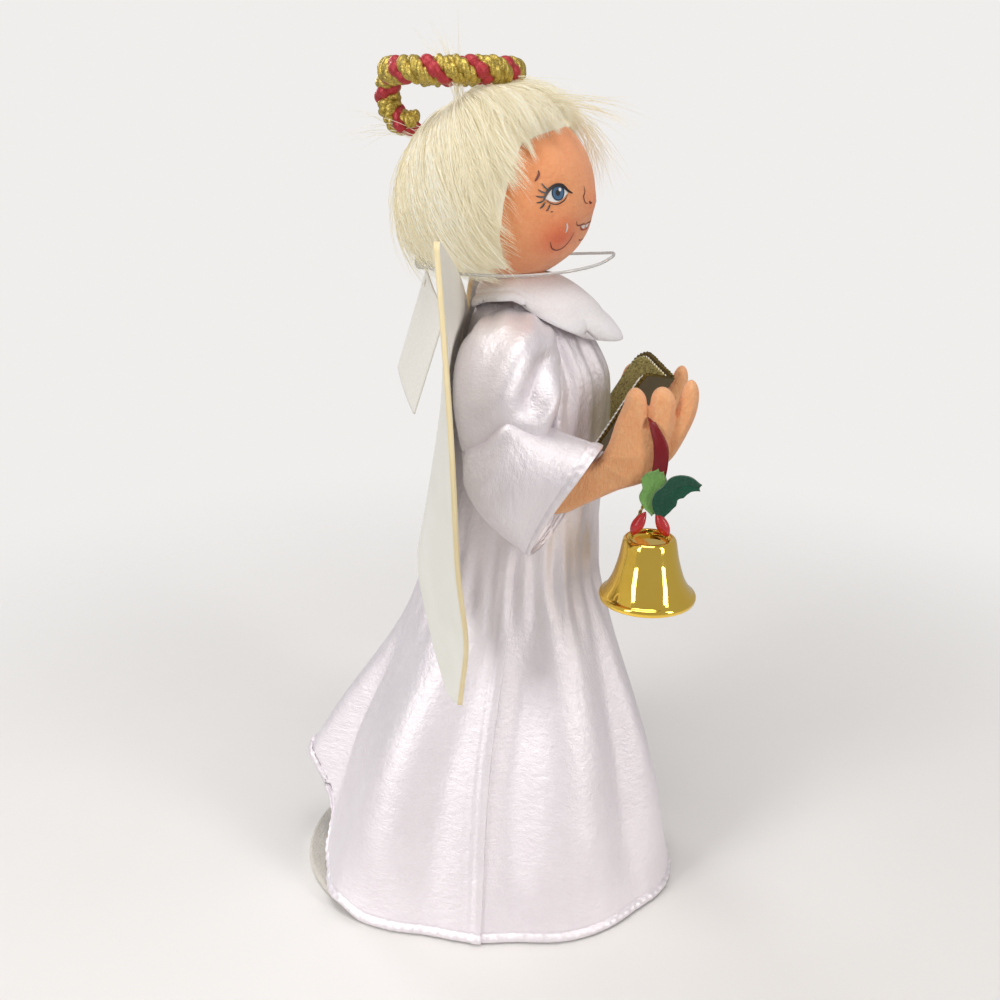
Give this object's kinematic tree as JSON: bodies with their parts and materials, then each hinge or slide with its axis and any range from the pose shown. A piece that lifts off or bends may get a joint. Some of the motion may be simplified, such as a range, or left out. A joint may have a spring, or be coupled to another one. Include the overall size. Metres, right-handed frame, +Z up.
{
  "type": "felt angel doll",
  "caption": "Standing stuffed felt angel doll in a satin gown with board wings and cord halo, holding an open songbook and a small bell on a ribbon.",
  "frame": {"origin": "on the floor under the middle of the doll's outline", "axes": "+Z up along the doll, -Y the way the gown's front faces, +X towards the doll's left hand"},
  "size_m": [0.1404, 0.1196, 0.2402],
  "materials": {
    "skin_felt": "matt felt",
    "white_felt": "matt felt",
    "white_satin": "soft sheen with fine glitter",
    "white_fur": "soft fibre",
    "wing_board": "matt board with tan edge",
    "gold_cord": "glitter",
    "gold_cloth": "metallic cloth",
    "white_card": "matt",
    "red_ribbon": "satin",
    "red_lacquer": "gloss",
    "light_green": "matt felt",
    "dark_green": "matt felt",
    "bell_gold": "mirror",
    "steel_wire": "drawn",
    "clear_nylon": "clear"
  },
  "bodies": {
    "body": {"base_board": "white_felt", "leg_right": "white_felt", "leg_left": "white_felt", "leg_wire_right": "steel_wire", "leg_wire_left": "steel_wire", "torso": "white_felt", "neck": "skin_felt", "neck_wire": "steel_wire", "shoulder_wire": "steel_wire", "gown_front": "white_satin", "gown_back": "white_satin", "collar": "white_felt", "wing_right": "wing_board", "wing_left": "wing_board", "tag_clasp": "clear_nylon", "tag_loop": "clear_nylon"},
    "head": {"head": "skin_felt", "hair_wig": "white_fur"},
    "halo": {"halo_cord": "gold_cord"},
    "arm_right": {"arm_right": "skin_felt", "arm_wire_right": "steel_wire", "sleeve_right": "white_satin", "ribbon": "red_ribbon", "holly_leaf_light": "light_green", "holly_leaf_dark": "dark_green"},
    "arm_left": {"arm_left": "skin_felt", "arm_wire_left": "steel_wire", "sleeve_left": "white_satin", "book_cover_right": "gold_cloth", "book_cover_left": "gold_cloth", "book_page_right": "white_card", "book_page_left": "white_card"},
    "bell": {"bell": "bell_gold", "bell_hanger": "gold_cord", "berry_front": "red_lacquer", "berry_back": "red_lacquer"},
    "clapper": {"clapper": "bell_gold"},
    "tag": {"hang_tag": "white_card"}
  },
  "joints": [
    {"name": "head_turn", "type": "hinge", "parent": "body", "child": "head", "pos_m": [0, -0.00766, 0.187], "axis": [0, 0, 1], "range_deg": [-40, 40]},
    {"name": "halo_tilt", "type": "hinge", "parent": "head", "child": "halo", "pos_m": [0.00692, 0.02004, 0.2242], "axis": [-0.9703, 0.2419, 0], "range_deg": [0, 10]},
    {"name": "shoulder_right", "type": "hinge", "parent": "body", "child": "arm_right", "pos_m": [0, -0.00866, 0.163], "axis": [-1, 0, 0], "range_deg": [0, 40]},
    {"name": "shoulder_left", "type": "hinge", "parent": "body", "child": "arm_left", "pos_m": [0, -0.00866, 0.163], "axis": [-1, 0, 0], "range_deg": [0, 40]},
    {"name": "bell_swing", "type": "hinge", "parent": "arm_right", "child": "bell", "pos_m": [-0.0225, -0.04516, 0.1327], "axis": [1, 0, 0], "range_deg": [-20, 20]},
    {"name": "clapper_swing", "type": "hinge", "parent": "bell", "child": "clapper", "pos_m": [-0.0225, -0.04516, 0.1181], "axis": [1, 0, 0], "range_deg": [-20, 20]},
    {"name": "tag_swing", "type": "hinge", "parent": "body", "child": "tag", "pos_m": [0, 0.01694, 0.185], "axis": [1, 0, 0], "range_deg": [0, 45]}
  ]
}
